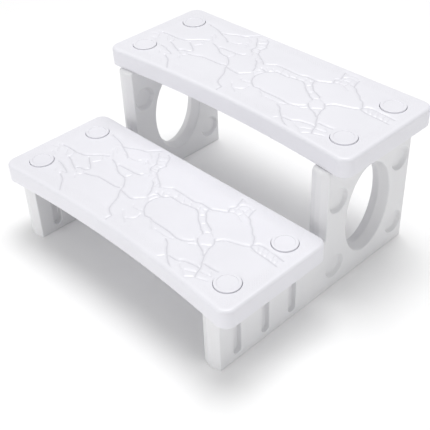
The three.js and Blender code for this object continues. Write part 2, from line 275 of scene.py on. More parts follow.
def rounded_path(corners: Corners, reaches: list[float], steps: int = 5) -> Array:
    """Replaces each inner corner C of an open path with a quadratic curve and holds the flats beside it.

    The curve from A to B, which lie on the two legs at the corner's reach, is
    (1 − t)²A + 2t(1 − t)C + t²B. A point HOLD before A and one HOLD after B keep the legs straight.

    Args:
        corners: The path's points.
        reaches: How far each inner corner's curve reaches along both of its legs.
        steps: Spans in each curve.

    Returns:
        The points of the new path, one row each.
    """
    path = np.asarray(corners, float)
    t = np.linspace(0.0, 1.0, steps + 1)[:, None]
    pieces = [path[:1]]
    for before, corner, after, reach in zip(path[:-2], path[1:-1], path[2:], reaches):
        back = (before - corner) / np.linalg.norm(before - corner)
        on = (after - corner) / np.linalg.norm(after - corner)
        start, end = corner + back * reach, corner + on * reach
        curve = (1 - t) ** 2 * start + 2 * t * (1 - t) * corner + t**2 * end
        pieces += [(start + back * HOLD)[None], curve, (end + on * HOLD)[None]]
    return np.concatenate([*pieces, path[-1:]])


def through(points: Corners, per_span: int = 4) -> Array:
    """A smooth line through points, by the Catmull-Rom cubic with its end tangents taken from the end spans.

    Args:
        points: The points that the line passes through.
        per_span: Samples in each span.

    Returns:
        The samples, one row each.
    """
    given = np.asarray(points, float)
    padded = np.concatenate([2 * given[:1] - given[1:2], given, 2 * given[-1:] - given[-2:-1]])
    t = np.arange(per_span)[:, None] / per_span
    a, b, c, d = (padded[k : len(padded) - 3 + k, None, :] for k in range(4))
    spans = 0.5 * (2 * b + (c - a) * t + (2 * a - 5 * b + 4 * c - d) * t**2 + (3 * b - a - 3 * c + d) * t**3)
    return np.concatenate([spans.reshape(-1, 2), given[-1:]])


def distance_to_line(points: Array, line: Array) -> Array:
    """The distance from each point to the nearest span of a line: |p − (a + s(b − a))|, s held in 0 to 1."""
    start, along = line[:-1], np.diff(line, axis=0)
    offset = points[:, None, :] - start
    share = np.clip((offset * along).sum(2) / (along**2).sum(1), 0.0, 1.0)
    return np.sqrt((((offset - share[..., None] * along) ** 2).sum(2)).min(1))


def spread(breaks: list[float], counts: list[int]) -> Array:
    """Even spans between each break and the next, with the breaks themselves kept."""
    runs = [np.linspace(a, b, n, endpoint=False) for a, b, n in zip(breaks[:-1], breaks[1:], counts)]
    return np.concatenate([*runs, np.array(breaks[-1:])])


def circle(sides: int) -> Array:
    """Unit directions (cos a, sin a) at even angles round a circle."""
    angle = np.arange(sides) * (2 * math.pi / sides)
    return np.stack([np.cos(angle), np.sin(angle)], axis=1)


def rings(directions: Array, path: Array, centre: Array) -> Array:
    """A profile carried round a centre: the point (centre + radius × direction, height) for each pair.

    Args:
        directions: Unit directions, one row each.
        path: Radius and height of each ring, one row each.
        centre: The x and y of the centre.

    Returns:
        Points in the shape rings × directions × 3.
    """
    flat = centre + path[:, 0, None, None] * directions
    height = np.broadcast_to(path[:, 1, None, None], (len(path), len(directions), 1))
    return np.concatenate([flat, height], axis=2)


class Shell:
    """Gathers points and faces in millimetres, then makes one closed mesh of them."""

    def __init__(self) -> None:
        """Starts with nothing in it."""
        self._points: list[Array] = []
        self._quads: list[Array] = []
        self._triangles: list[Array] = []
        self._count = 0

    @property
    def count(self) -> int:
        """How many points it has."""
        return self._count

    def move(self, offset: Array) -> None:
        """Moves every point that it has so far."""
        self._points = [points + offset for points in self._points]

    def add(self, points: Array) -> Array:
        """Adds points of any grid shape and returns their numbers in that shape."""
        numbers = np.arange(self._count, self._count + points[..., 0].size).reshape(points.shape[:-1])
        self._points.append(points.reshape(-1, 3))
        self._count += numbers.size
        return numbers

    def at(self, numbers: Array) -> Array:
        """The points with these numbers."""
        return np.concatenate(self._points)[numbers]

    def weave(self, grid: Array, keep: Array | None = None) -> None:
        """Puts a quad between each pair of neighbouring rows and columns, where keep allows it."""
        quads = np.stack([grid[:-1, :-1], grid[:-1, 1:], grid[1:, 1:], grid[1:, :-1]], axis=-1)
        self._quads.append(quads.reshape(-1, 4) if keep is None else quads[keep])

    def bridge(self, loops: list[Array] | Array) -> None:
        """Joins each closed loop of numbers to the next with a band of quads."""
        grid = np.stack(list(loops))
        self.weave(np.concatenate([grid, grid[:, :1]], axis=1))

    def carry(self, start: Array | None, points: Array) -> Array:
        """Adds rings of points, joins them in order after the start loop, and returns the last loop."""
        numbers = self.add(points)
        self.bridge(numbers if start is None else np.concatenate([start[None], numbers]))
        return numbers[-1]

    def close(self, loop: Array, point: Array) -> None:
        """Closes a loop with triangles that meet at one point."""
        tip = np.full(len(loop), self.add(np.asarray(point, float)[None])[0])
        self._triangles.append(np.stack([loop, np.roll(loop, -1), tip], axis=1))

    def fill(self, loops: list[Array], first: int, second: int) -> None:
        """Fills a flat region with triangles that use only the points of its loops.

        A triangle is kept where its middle is inside an odd number of loops, so the loops after the
        outer one are holes.

        Args:
            loops: Closed loops of numbers.
            first: The axis used as the region's first coordinate.
            second: The axis used as its second.
        """
        numbers = np.concatenate(loops)
        flat = self.at(numbers)[:, [first, second]]
        starts = np.cumsum([0, *map(len, loops)])
        ends = np.concatenate([np.roll(np.arange(a, b), -1) for a, b in zip(starts[:-1], starts[1:])])
        edges = np.stack([np.arange(len(numbers)), ends], axis=1)
        made = delaunay_2d_cdt(flat.tolist(), edges.tolist(), [], 0, 1e-7)
        origin = np.array([given[0] for given in made[3]])
        faces = origin[np.array(made[2])]
        middle = flat[faces].mean(axis=1)
        a, b = flat, flat[ends]
        crosses = (a[:, 1] > middle[:, None, 1]) != (b[:, 1] > middle[:, None, 1])
        rise = np.where(a[:, 1] == b[:, 1], 1.0, b[:, 1] - a[:, 1])
        reach = a[:, 0] + (middle[:, None, 1] - a[:, 1]) * (b[:, 0] - a[:, 0]) / rise
        inside = (crosses & (middle[:, None, 0] < reach)).sum(axis=1) % 2 == 1
        self._triangles.append(numbers[faces[inside]])

    def open_square(self, grid: Array, keep: Array, rows: tuple[int, int], columns: tuple[int, int]) -> Array:
        """Takes a square of quads out of a grid and returns the loop of numbers round the gap."""
        top, bottom = rows
        left, right = columns
        keep[top:bottom, left:right] = False
        return np.concatenate([grid[top, left:right], grid[top:bottom, right],
                               grid[bottom, right:left:-1], grid[bottom:top:-1, left]])

    def make(self, name: str, material: bpy.types.Material, weights: dict[str, Array] | None = None,
             ) -> bpy.types.Object:
        """Makes the mesh object: unused points dropped, faces turned outwards, shaded smooth.

        Args:
            name: The object's name.
            material: Its finish.
            weights: Values for each point, by the name of the attribute that holds them.

        Returns:
            The object, at the origin, unturned and unscaled.
        """
        quads = np.concatenate(self._quads)
        triangles = np.concatenate(self._triangles) if self._triangles else np.zeros((0, 3), int)
        used, numbers = np.unique(np.concatenate([quads.ravel(), triangles.ravel()]), return_inverse=True)
        mesh = bpy.data.meshes.new(name)
        mesh.vertices.add(len(used))
        mesh.vertices.foreach_set("co", (self.at(used) * MM).astype(np.float32).ravel())
        mesh.loops.add(len(numbers))
        mesh.loops.foreach_set("vertex_index", numbers.astype(np.int32).ravel())
        starts = np.concatenate([np.arange(len(quads)) * 4, quads.size + np.arange(len(triangles)) * 3])
        mesh.polygons.add(len(starts))
        mesh.polygons.foreach_set("loop_start", starts.astype(np.int32))
        mesh.update(calc_edges=True)
        for label, values in (weights or {}).items():
            held = mesh.attributes.new(label, "FLOAT", "POINT")
            held.data.foreach_set("value", values[used].astype(np.float32))
        shape = bmesh.new()
        shape.from_mesh(mesh)
        bmesh.ops.recalc_face_normals(shape, faces=shape.faces)
        if shape.calc_volume(signed=True) < 0:
            bmesh.ops.reverse_faces(shape, faces=shape.faces)
        shape.to_mesh(mesh)
        shape.free()
        mesh.shade_smooth()
        mesh.materials.append(material)
        made = bpy.data.objects.new(name, mesh)
        bpy.context.scene.collection.objects.link(made)
        return made


class NodeSheet:
    """Lays out the nodes of one material."""

    def __init__(self, name: str) -> None:
        """Makes an empty material with a principled shader on its output."""
        self.material = bpy.data.materials.new(name)
        self.material.use_nodes = True
        self.tree = self.material.node_tree
        self.tree.nodes.clear()
        output = self.tree.nodes.new("ShaderNodeOutputMaterial")
        self.shader = self.tree.nodes.new("ShaderNodeBsdfPrincipled")
        self.join(self.shader.outputs["BSDF"], output.inputs["Surface"])
        self.place = self.node("ShaderNodeTexCoord").outputs["Object"]

    def node(self, kind: str, **settings: object) -> bpy.types.Node:
        """Adds a node and sets its properties."""
        made = self.tree.nodes.new(kind)
        for label, value in settings.items():
            setattr(made, label, value)
        return made

    def join(self, source: bpy.types.NodeSocket, target: bpy.types.NodeSocket) -> None:
        """Links an output to an input."""
        self.tree.links.new(source, target)

    def noise(self, scale: float, detail: float = 2.0, roughness: float = 0.5) -> bpy.types.NodeSocket:
        """A cloud of values about one half, with the given number of features per metre."""
        made = self.node("ShaderNodeTexNoise")
        made.inputs["Scale"].default_value = scale
        made.inputs["Detail"].default_value = detail
        made.inputs["Roughness"].default_value = roughness
        self.join(self.place, made.inputs["Vector"])
        return made.outputs["Fac"]

    def sum_up(self, kind: str, first: object, second: object) -> bpy.types.NodeSocket:
        """One arithmetic step on two values, each a socket or a number."""
        made = self.node("ShaderNodeMath", operation=kind)
        for given, target in zip((first, second), made.inputs):
            if isinstance(given, bpy.types.NodeSocket):
                self.join(given, target)
            else:
                target.default_value = given
        return made.outputs["Value"]

    def between(self, value: bpy.types.NodeSocket, low: float, high: float, floor: float, ceiling: float,
                ) -> bpy.types.NodeSocket:
        """Maps a value's range onto another, smoothly and held at both ends."""
        made = self.node("ShaderNodeMapRange", interpolation_type="SMOOTHSTEP")
        self.join(value, made.inputs["Value"])
        for label, number in (("From Min", low), ("From Max", high), ("To Min", floor), ("To Max", ceiling)):
            made.inputs[label].default_value = number
        return made.outputs["Result"]

    def blend(self, value: bpy.types.NodeSocket, first: tuple, second: tuple) -> bpy.types.NodeSocket:
        """Mixes two colours by a value from 0 to 1."""
        made = self.node("ShaderNodeMix", data_type="RGBA")
        self.join(value, made.inputs["Factor"])
        made.inputs["A"].default_value = (*first, 1.0)
        made.inputs["B"].default_value = (*second, 1.0)
        return made.outputs["Result"]

    def bump(self, height: bpy.types.NodeSocket, distance: float, under: bpy.types.NodeSocket | None = None,
             ) -> bpy.types.NodeSocket:
        """Raises the surface by a height times a distance in metres, over another bump if one is given."""
        made = self.node("ShaderNodeBump")
        made.inputs["Distance"].default_value = distance
        self.join(height, made.inputs["Height"])
        if under is not None:
            self.join(under, made.inputs["Normal"])
        return made.outputs["Normal"]


@dataclass(frozen=True)
class MouldedPlastic:
    """White blow-moulded plastic: faint flow clouds in its colour and gloss, and a fine orange peel.

    A patterned one has painted shade at the bottom of its joints: its colour is darkened there to stand
    in for the shade in the grooves. It also has anti-slip dots on its border, where the attributes joint
    and border say.
    """

    name: str
    colour: tuple[float, float, float] = (0.82, 0.816, 0.86)
    # The darker colour: the flow clouds mix towards it, and on a patterned one it is also the painted shade
    # at the bottom of the joints.
    shade: tuple[float, float, float] = (0.79, 0.787, 0.832)
    gloss_from: float = 0.29
    gloss_to: float = 0.36
    peel_depth: float = 0.00005
    patterned: bool = False
    cloud_share: float = 0.12
    dot_pitch: float = 0.0035
    dot_depth: float = 0.00035

    def make(self) -> bpy.types.Material:
        """Builds the material."""
        sheet = NodeSheet(self.name)
        tone = sheet.between(sheet.noise(7.0, 4.0), 0.3, 0.7, 0.0, 1.0)
        if self.patterned:
            # Painted shade: the colour goes towards the darker colour at the bottom of each joint, standing
            # in for the shade in the grooves.
            joint = sheet.node("ShaderNodeAttribute", attribute_name="joint").outputs["Fac"]
            deep = sheet.between(joint, 0.35, 0.95, 0.0, 1.0)
            tone = sheet.sum_up("MAXIMUM", sheet.sum_up("MULTIPLY", tone, self.cloud_share), deep)
        sheet.join(sheet.blend(tone, self.colour, self.shade), sheet.shader.inputs["Base Color"])
        streaks = sheet.between(sheet.noise(45.0, 5.0, 0.6), 0.3, 0.7, self.gloss_from, self.gloss_to)
        sheet.join(streaks, sheet.shader.inputs["Roughness"])
        normal = sheet.bump(sheet.noise(420.0, 3.0), self.peel_depth)
        if self.patterned:
            normal = sheet.bump(self.dot_height(sheet), self.dot_depth, normal)
        sheet.join(normal, sheet.shader.inputs["Normal"])
        sheet.shader.inputs["IOR"].default_value = 1.5
        return sheet.material

    def dot_height(self, sheet: NodeSheet) -> bpy.types.NodeSocket:
        """Anti-slip dots on a slanting grid: sin(kx) sin(ky) above a level, times the border attribute.

        Args:
            sheet: The material's nodes.

        Returns:
            The height, from 0 to 1.
        """
        axes = sheet.node("ShaderNodeSeparateXYZ")
        sheet.join(sheet.place, axes.inputs["Vector"])
        per_metre = math.pi / self.dot_pitch
        turns = [sheet.sum_up("MULTIPLY", axes.outputs[axis], per_metre) for axis in ("X", "Y")]
        waves = [sheet.sum_up("SINE", turn, 0.0) for turn in turns]
        dots = sheet.between(sheet.sum_up("MULTIPLY", *waves), 0.25, 0.9, 0.0, 1.0)
        border = sheet.node("ShaderNodeAttribute", attribute_name="border").outputs["Fac"]
        return sheet.sum_up("MULTIPLY", dots, border)


@dataclass(frozen=True)
class ZincSteel:
    """Zinc-plated steel: bright, with fine turning streaks and a slight patchiness."""

    name: str = "zinc_plated_steel"

    def make(self) -> bpy.types.Material:
        """Builds the material."""
        sheet = NodeSheet(self.name)
        patches = sheet.between(sheet.noise(260.0, 4.0), 0.3, 0.7, 0.0, 1.0)
        colour = sheet.blend(patches, (0.62, 0.63, 0.65), (0.74, 0.74, 0.73))
        sheet.join(colour, sheet.shader.inputs["Base Color"])
        streaks = sheet.between(sheet.noise(900.0, 3.0), 0.3, 0.7, 0.22, 0.42)
        sheet.join(streaks, sheet.shader.inputs["Roughness"])
        sheet.join(sheet.bump(sheet.noise(2400.0, 2.0), 0.00003), sheet.shader.inputs["Normal"])
        sheet.shader.inputs["Metallic"].default_value = 1.0
        return sheet.material


@dataclass(frozen=True)
class StudioPaper:
    """The pale paper that the steps stand on: matt, with a trace of fibre."""

    name: str = "studio_paper"

    def make(self) -> bpy.types.Material:
        """Builds the material."""
        sheet = NodeSheet(self.name)
        fibre = sheet.blend(sheet.noise(30.0, 3.0), (0.985, 0.985, 0.985), (0.998, 0.998, 0.998))
        sheet.join(fibre, sheet.shader.inputs["Base Color"])
        sheet.join(sheet.bump(sheet.noise(600.0, 2.0), 0.00002), sheet.shader.inputs["Normal"])
        sheet.shader.inputs["Roughness"].default_value = 0.9
        sheet.shader.inputs["Specular IOR Level"].default_value = 0.0
        return sheet.material


class Finishes:
    """Every finish of the steps, made once and shared by its pieces."""

    def __init__(self) -> None:
        """Makes the materials."""
        self.by_slot: dict[Slot, bpy.types.Material] = {
            # The tread's darker colour is mostly painted shade for the bottoms of its joints.
            Slot.TREAD: MouldedPlastic("tread_white", shade=(0.66, 0.658, 0.70), patterned=True).make(),
            Slot.PANEL: MouldedPlastic("panel_white", colour=(0.80, 0.80, 0.812), shade=(0.785, 0.785, 0.8),
                                       gloss_from=0.36, gloss_to=0.46).make(),
            Slot.CAP: MouldedPlastic("cap_white", gloss_from=0.28, gloss_to=0.33, peel_depth=0.00003).make(),
            Slot.STEEL: ZincSteel().make(),
        }


@dataclass(frozen=True)
class NodeBox:
    """The box of one CAD node, in millimetres."""

    low: Array
    high: Array

    @classmethod
    def of(cls, node: str) -> NodeBox:
        """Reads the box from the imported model."""
        low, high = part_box(node)
        return cls(np.array(low) / MM, np.array(high) / MM)

    @property
    def middle(self) -> Array:
        """The middle of the box."""
        return (self.low + self.high) / 2

    @property
    def size(self) -> Array:
        """The box's length along each axis."""
        return self.high - self.low


def fit(shell: Shell, node: str, slot: Slot, finishes: Finishes,
        weights: dict[str, Array] | None = None) -> None:
    """Makes the piece that stands for a CAD node, gives it its finish and lets it ride on the body.

    Args:
        shell: The piece's points and faces.
        node: The CAD node that the piece stands for and is named after.
        slot: The record's material slot.
        finishes: The shared materials.
        weights: Values for each point, by attribute name.
    """
    kind = "part" if slot is Slot.STEEL else "moulding"
    piece = shell.make(f"{node}_{kind}", finishes.by_slot[slot], weights)
    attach(piece, ROOT_BODY)
    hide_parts(node)
    LOG.info("%s: %d points, %d faces", piece.name, len(piece.data.vertices), len(piece.data.polygons))


@dataclass
class StoneRelief:
    """The stone pattern on a tread: soft joints between slightly crowned stones.

    The pairs give the distances over which something comes in, from none at the first to all at the
    second.
    """

    crown: float = 0.6
    crown_width: float = 9.0
    crown_reach: float = 45.0
    far_off: float = 60.0
    sway: float = 0.22
    pattern_from_cap: tuple[float, float] = (35.0, 43.0)
    pattern_from_edge: tuple[float, float] = (0.0, 6.0)
    crown_from_edge: tuple[float, float] = (20.0, 40.0)
    dots_from_joint: tuple[float, float] = (8.0, 14.0)
    dots_from_edge: tuple[float, float] = (2.0, 5.0)
    dots_from_cap: tuple[float, float] = (33.0, 35.0)
    border_end: tuple[float, float] = (26.0, 34.0)

    def depth(self, places: Array, inland: Array, from_cap: Array) -> tuple[Array, Array, Array]:
        """How deep the pattern is at each place, in millimetres.

        A joint of half width w and depth d is a V, d(1 − r/w) at a distance r inside it, and each
        stone falls away towards its joints by crown × exp(−r/crown_width). Slow waves add a little.

        Args:
            places: x and y from the tread's middle, one row each.
            inland: Distance in from the edge of the flat top.
            from_cap: Distance from the nearest cap's middle.

        Returns:
            The depth, how much each place is part of a joint, and how much it is plain border.
        """
        joint = np.zeros(len(places))
        nearest = np.full(len(places), self.far_off)
        for kind, points in STONE_JOINTS:
            line = through(points)
            margin = kind.half_width + self.crown_reach
            close = ((places > line.min(0) - margin) & (places < line.max(0) + margin)).all(axis=1)
            far = distance_to_line(places[close], line)
            inside = np.clip(far / kind.half_width, 0.0, 1.0)
            joint[close] = np.maximum(joint[close], kind.depth * (1 - inside))
            nearest[close] = np.minimum(nearest[close], far)
        x, y = places.T
        waves = self.sway * (np.sin(x / 21.0 + 1.3) * np.cos(y / 17.0) + 0.6 * np.sin(x / 43.0 - y / 29.0))
        fade = smooth_step(inland, *self.pattern_from_edge) * smooth_step(from_cap, *self.pattern_from_cap)
        crown = self.crown * np.exp(-nearest / self.crown_width)
        still = smooth_step(inland, *self.crown_from_edge)
        plain = smooth_step(nearest, *self.dots_from_joint) * (1 - smooth_step(inland, *self.border_end))
        plain = plain * smooth_step(inland, *self.dots_from_edge) * smooth_step(from_cap, *self.dots_from_cap)
        # The joint share goes to the tread's material, which darkens the colour there as painted shade.
        return (joint + (crown + waves) * still) * fade, joint / Joint.WIDE.depth * fade, plain


@dataclass
class Tread:
    """One tread: a hollow slab with a stone-patterned top, rounded edges and an inward-curved front."""

    level: Level
    corner_radius: float = 28.0
    edge_radius: float = 8.0
    foot_radius: float = 2.5
    front_sag: float = 20.0
    square_half: float = 35.0
    square_spans: int = 34
    well_radius: float = 31.0
    well_lip: float = 1.6
    ledge_depth: float = 9.0
    neck_radius: float = 25.0
    well_floor: float = 21.0
    screw_radius: float = 3.35
    socket_radius: float = 18.5
    socket_depth: float = 12.0
    tack_spacing: tuple[float, float] = (130.0, 174.0)
    tack_mouth: float = 24.0
    tack_tip: float = 12.0
    tack_top: float = 40.0
    vent_radius: float = 4.0
    vent_depth: float = 6.0
    relief: StoneRelief = field(default_factory=StoneRelief)

    @property
    def node(self) -> str:
        """The tread's CAD node."""
        return f"{self.level.value}_tread"

    def build(self, finishes: Finishes) -> None:
        """Builds the tread and fits it to its node."""
        self.box = NodeBox.of(self.node)
        self.half = self.box.size / 2
        self.thick = self.box.size[2]
        caps = [NodeBox.of(f"{self.level.value}_{corner.value}_cap") for corner in Corner]
        self.wells = np.array([(cap.middle - self.box.middle)[:2] for cap in caps])
        self.shell = Shell()
        self.tones: list[tuple[Array, Array]] = []
        grid, keep = self.top()
        mouths = [self.well(grid, keep, centre) for centre in self.wells]
        self.shell.weave(grid, keep)
        rim = np.concatenate([grid[0, :-1], grid[:-1, -1], grid[-1, :0:-1], grid[:0:-1, 0]])
        foot = self.skirt(rim)
        tacks = [self.tack_off(np.array([x, y]) * self.tack_spacing)
                 for x in (-1.5, -0.5, 0.5, 1.5) for y in (-0.5, 0.5)]
        self.shell.fill([foot, *mouths, *tacks, self.vent()], 0, 1)
        # The joint weight darkens the tread's colour as painted shade; the border weight places the anti-slip
        # dots.
        weights = {"joint": np.zeros(self.shell.count), "border": np.zeros(self.shell.count)}
        for numbers, joint, border in self.tones:
            weights["joint"][numbers] = joint
            weights["border"][numbers] = border
        self.shell.move(np.array([*self.box.middle[:2], self.box.low[2]]))
        fit(self.shell, self.node, Slot.TREAD, finishes, weights)

    def surface(self, places: Array, inland: Array) -> Array:
        """Adds points of the top at x and y places, sunk by the stone relief, and returns their numbers."""
        flat = places.reshape(-1, 2)
        from_cap = np.sqrt(((flat[:, None] - self.wells) ** 2).sum(2)).min(1)
        depth, joint, border = self.relief.depth(flat, inland.ravel(), from_cap)
        points = np.concatenate([flat, (self.thick - depth)[:, None]], axis=1)
        numbers = self.shell.add(points.reshape(*places.shape[:-1], 3))
        self.tones.append((numbers.ravel(), joint, border))
        return numbers

    def edges_at(self, x: Array) -> tuple[Array, Array]:
        """The y of the front and back edges of the flat top at each x.

        The back is straight and the front is a parabola that rises by the sag at the middle. Past the
        corner's start both follow a circle of the corner radius less the edge radius.
        """
        start = self.half[0] - self.corner_radius
        radius = self.corner_radius - self.edge_radius
        past = np.clip(np.abs(x) - start, 0.0, radius)
        arc = self.half[1] - self.corner_radius + np.sqrt(np.maximum(radius**2 - past**2, 0.0))
        sag = self.front_sag * (1 - np.minimum(np.abs(x) / start, 1.0) ** 2)
        return -arc + sag, arc

    def inland(self, places: Array) -> Array:
        """The distance in from the edge of the flat top, to the nearest of the four sides."""
        front, back = self.edges_at(places[..., 0])
        sides = self.half[0] - self.edge_radius - np.abs(places[..., 0])
        return np.minimum(sides, np.minimum(places[..., 1] - front, back - places[..., 1]))

    def top(self) -> tuple[Array, Array]:
        """The grid of the flat top: straight rows in the middle, and rows that bend to the front and back.

        The columns of a rounded corner are at start + radius × sin(a), so that they close up towards
        the end of the tread.
        """
        start = self.half[0] - self.corner_radius
        radius = self.corner_radius - self.edge_radius
        well_x, well_y = np.abs(self.wells).max(0)
        bend = start + radius * np.sin(np.linspace(0.0, math.pi / 2, 9)[1:])
        inner, outer = well_x - self.square_half, well_x + self.square_half
        right = spread([0.0, inner, outer, start], [142, self.square_spans, 1])
        x = np.concatenate([-bend[::-1], -right[:0:-1], right, bend])
        inner, outer = well_y - self.square_half, well_y + self.square_half
        straight = spread([-outer, -inner, inner, outer], [self.square_spans, 51, self.square_spans])
        share = np.linspace(0.0, 1.0, 9)
        front, back = self.edges_at(x)
        rows = np.concatenate([
            front + share[:-1, None] * (straight[0] - front),
            np.broadcast_to(straight[:, None], (len(straight), len(x))),
            back + (1 - share[1:, None]) * (straight[-1] - back),
        ])
        places = np.stack([np.broadcast_to(x, rows.shape), rows], axis=-1)
        self.columns, self.rows = x, straight
        self.first_row = len(share) - 1
        grid = self.surface(places, self.inland(places))
        return grid, np.ones((grid.shape[0] - 1, grid.shape[1] - 1), bool)

    def well(self, grid: Array, keep: Array, centre: Array) -> Array:
        """One cap well with its screw hole and the socket under it, joined to the grid of the top.

        The gap in the grid is a square, and the rings between it and the well's mouth go from the
        square to the circle in a straight line.

        Args:
            grid: The numbers of the top's points.
            keep: The quads of the top that stay.
            centre: The well's x and y.

        Returns:
            The loop of the socket's mouth in the underside.
        """
        sides = np.array([-self.square_half, self.square_half])
        left, right = np.abs(self.columns[:, None] - centre[0] - sides).argmin(axis=0).tolist()
        low, high = (self.first_row + np.abs(self.rows[:, None] - centre[1] - sides).argmin(axis=0)).tolist()
        loop = self.shell.open_square(grid, keep, (low, high), (left, right))
        square = self.shell.at(loop)[:, :2]
        turn = (square - centre) / np.linalg.norm(square - centre, axis=1, keepdims=True)
        mouth = centre + turn * (self.well_radius + self.well_lip)
        share = np.linspace(0.0, 1.0, 6)[1:, None, None]
        places = (1 - share) * square + share * mouth
        numbers = self.surface(places, self.inland(places))
        self.shell.bridge(np.concatenate([loop[None], numbers]))
        ledge = self.thick - self.ledge_depth
        path = rounded_path(
            [(self.well_radius + self.well_lip, self.thick), (self.well_radius, self.thick),
             (self.well_radius, ledge), (self.neck_radius, ledge), (self.neck_radius, self.well_floor),
             (self.screw_radius, self.well_floor), (self.screw_radius, self.socket_depth),
             (self.socket_radius, self.socket_depth), (self.socket_radius, 0.0),
             (self.socket_radius + 2.0, 0.0)],
            [0.8, 0.6, 0.8, 1.0, 0.4, 0.4, 1.0, 0.8], steps=3)
        return self.shell.carry(numbers[-1], rings(turn, path[1:], centre))

    def skirt(self, rim: Array) -> Array:
        """The rounded edge, side and foot of the slab, carried down from the rim of the flat top.

        Each rim point moves along its own way out: straight on the sides, and away from the corner's
        middle in a rounded corner.

        Args:
            rim: The loop of numbers round the flat top.

        Returns:
            The loop at the edge of the underside.
        """
        points = self.shell.at(rim)[:, :2]
        start = self.half[:2] - self.corner_radius
        ahead = points.copy()
        ahead[:, 0] -= np.clip(points[:, 0], -start[0], start[0])
        ahead[:, 1] -= np.clip(points[:, 1], -start[1], start[1])
        ahead[np.abs(points[:, 0]) <= start[0], 0] = 0.0
        front = (np.abs(points[:, 0]) <= start[0]) & (points[:, 1] < 0)
        ahead[front] = (0.0, -1.0)
        out = ahead / np.linalg.norm(ahead, axis=1, keepdims=True)
        angle = np.linspace(0.0, math.pi / 2, 9)[1:]
        edge = self.edge_radius
        over = np.stack([edge * np.sin(angle), self.thick - edge * (1 - np.cos(angle))], axis=1)
        foot = rounded_path([(edge, self.thick - edge), (edge, 0.0), (0.0, 0.0)], [self.foot_radius], steps=4)
        path = np.concatenate([over, foot[1:-1]])
        return self.shell.carry(rim, rings(out, path, points))

    def tack_off(self, centre: Array) -> Array:
        """One cup pressed up from the underside to meet the top; returns the loop of its mouth."""
        path = rounded_path([(self.tack_mouth + 3.0, 0.0), (self.tack_mouth, 0.0),
                             (self.tack_tip, self.tack_top), (0.0, self.tack_top)], [2.2, 4.0], steps=4)
        numbers = self.shell.add(rings(circle(48), path[1:-1], centre))
        self.shell.bridge(numbers)
        self.shell.close(numbers[-1], np.array([*centre, self.tack_top]))
        return numbers[0]

    def vent(self) -> Array:
        """The small blow hole in the middle of the underside; returns the loop of its mouth."""
        radius, depth = self.vent_radius, self.vent_depth
        path = rounded_path([(radius + 2.0, 0.0), (radius, 0.0), (radius, depth), (0.0, depth)],
                            [0.6, 0.6], steps=2)
        numbers = self.shell.add(rings(circle(24), path[1:-1], np.zeros(2)))
        self.shell.bridge(numbers)
        self.shell.close(numbers[-1], np.array([0.0, 0.0, depth]))
        return numbers[0]


def heading(start: Array, end: Array) -> Array:
    """The way from one line of points to another that lies along an axis: −1, 0 or 1 on each axis."""
    across = (end - start).sum(axis=0)
    return np.sign(across) * (np.abs(across) > 1e-6)


